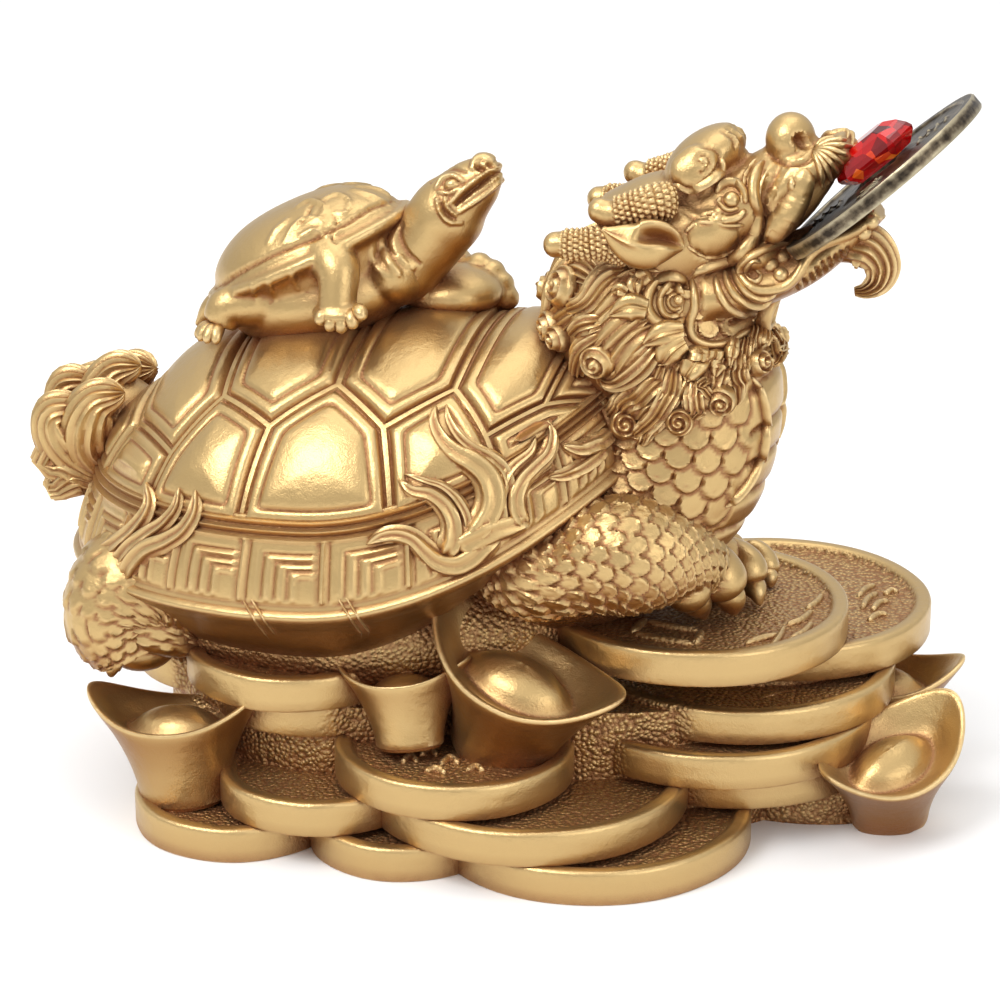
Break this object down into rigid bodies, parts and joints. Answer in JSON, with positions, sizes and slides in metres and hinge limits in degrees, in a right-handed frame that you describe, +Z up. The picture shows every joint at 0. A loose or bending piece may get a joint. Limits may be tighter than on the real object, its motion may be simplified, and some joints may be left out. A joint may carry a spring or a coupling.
{
  "type": "dragon turtle figure",
  "caption": "Gold dragon turtle on a bed of coins and boat-shaped ingots, with a small turtle on its back and a loose coin with a red crystal in its mouth.",
  "frame": {"origin": "on the table, at the middle of the flat underside of the bed of coins", "axes": "+Z up, +X the way the dragon faces, -Y its right flank, which the picture shows"},
  "size_m": [0.1202, 0.0723, 0.0925],
  "materials": {
    "gold_paint": "cast resin under satin gold metallic paint, with brown in the recesses",
    "aged_bronze": "antique bronze, darker in the field, worn bright on the edges",
    "red_crystal": "polished facets"
  },
  "bodies": {
    "root": {"dragon_turtle": "gold_paint", "mouth_coin": "aged_bronze", "red_gem": "red_crystal"}
  },
  "joints": []
}
